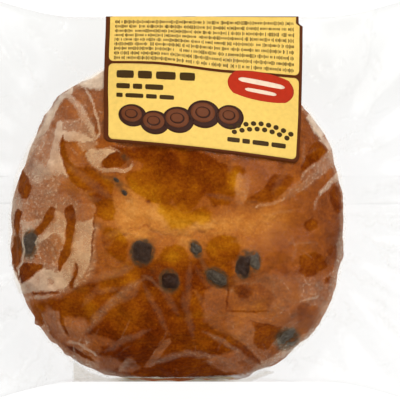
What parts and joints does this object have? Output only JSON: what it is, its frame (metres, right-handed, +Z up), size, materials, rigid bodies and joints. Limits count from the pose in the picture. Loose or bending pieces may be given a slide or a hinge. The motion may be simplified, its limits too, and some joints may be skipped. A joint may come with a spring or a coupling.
{
  "type": "film-wrapped muffin",
  "caption": "Domed muffin with chocolate pieces in its crust, sealed in a clear flow-wrap film pack with crimped ends and a plain printed label folded over one side.",
  "frame": {"origin": "on the resting surface, under the middle of the pack's outline", "axes": "+X along the film tube from one crimped end seal to the other, +Y across it towards the fold that the label goes over, +Z up out of the muffin's crown"},
  "size_m": [0.19, 0.136, 0.0544],
  "materials": {
    "crust": "baked muffin crust, golden to deep brown, greasy where the film touches it",
    "label_paper": "pale yellow printed paper, satin",
    "clear_film": "clear glossy polypropylene film, creased",
    "chocolate": "dark chocolate, satin with a faint bloom",
    "print_brown": "dark brown print, satin",
    "print_red": "red print, satin"
  },
  "bodies": {
    "root": {"film_wrapped_muffin": "crust", "label": "label_paper"}
  },
  "joints": []
}
